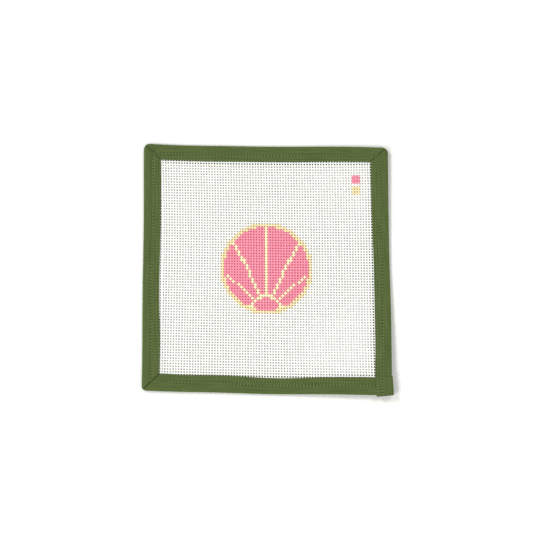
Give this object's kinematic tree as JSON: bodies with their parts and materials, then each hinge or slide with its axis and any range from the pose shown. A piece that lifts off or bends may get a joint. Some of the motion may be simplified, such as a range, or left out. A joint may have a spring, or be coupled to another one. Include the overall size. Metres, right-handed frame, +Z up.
{
  "type": "needlepoint canvas",
  "caption": "Square needlepoint canvas with a painted round sweet bun, its cut edges bound in folded olive cotton tape.",
  "frame": {"origin": "on the table, under the middle of the panel's box", "axes": "+X to the right and +Y to the top of the painted design, +Z up out of its painted face"},
  "size_m": [0.1798, 0.1811, 0.0053],
  "materials": {
    "canvas_cotton": "white sized cotton mono canvas, 13 threads to the inch, painted pink and pale yellow",
    "binding_tape": "matt olive cotton twill tape",
    "seam_thread": "olive spun sewing thread"
  },
  "bodies": {
    "root": {"canvas": "canvas_cotton", "binding_tape": "binding_tape", "needle_thread": "seam_thread", "bobbin_thread": "seam_thread"}
  },
  "joints": []
}
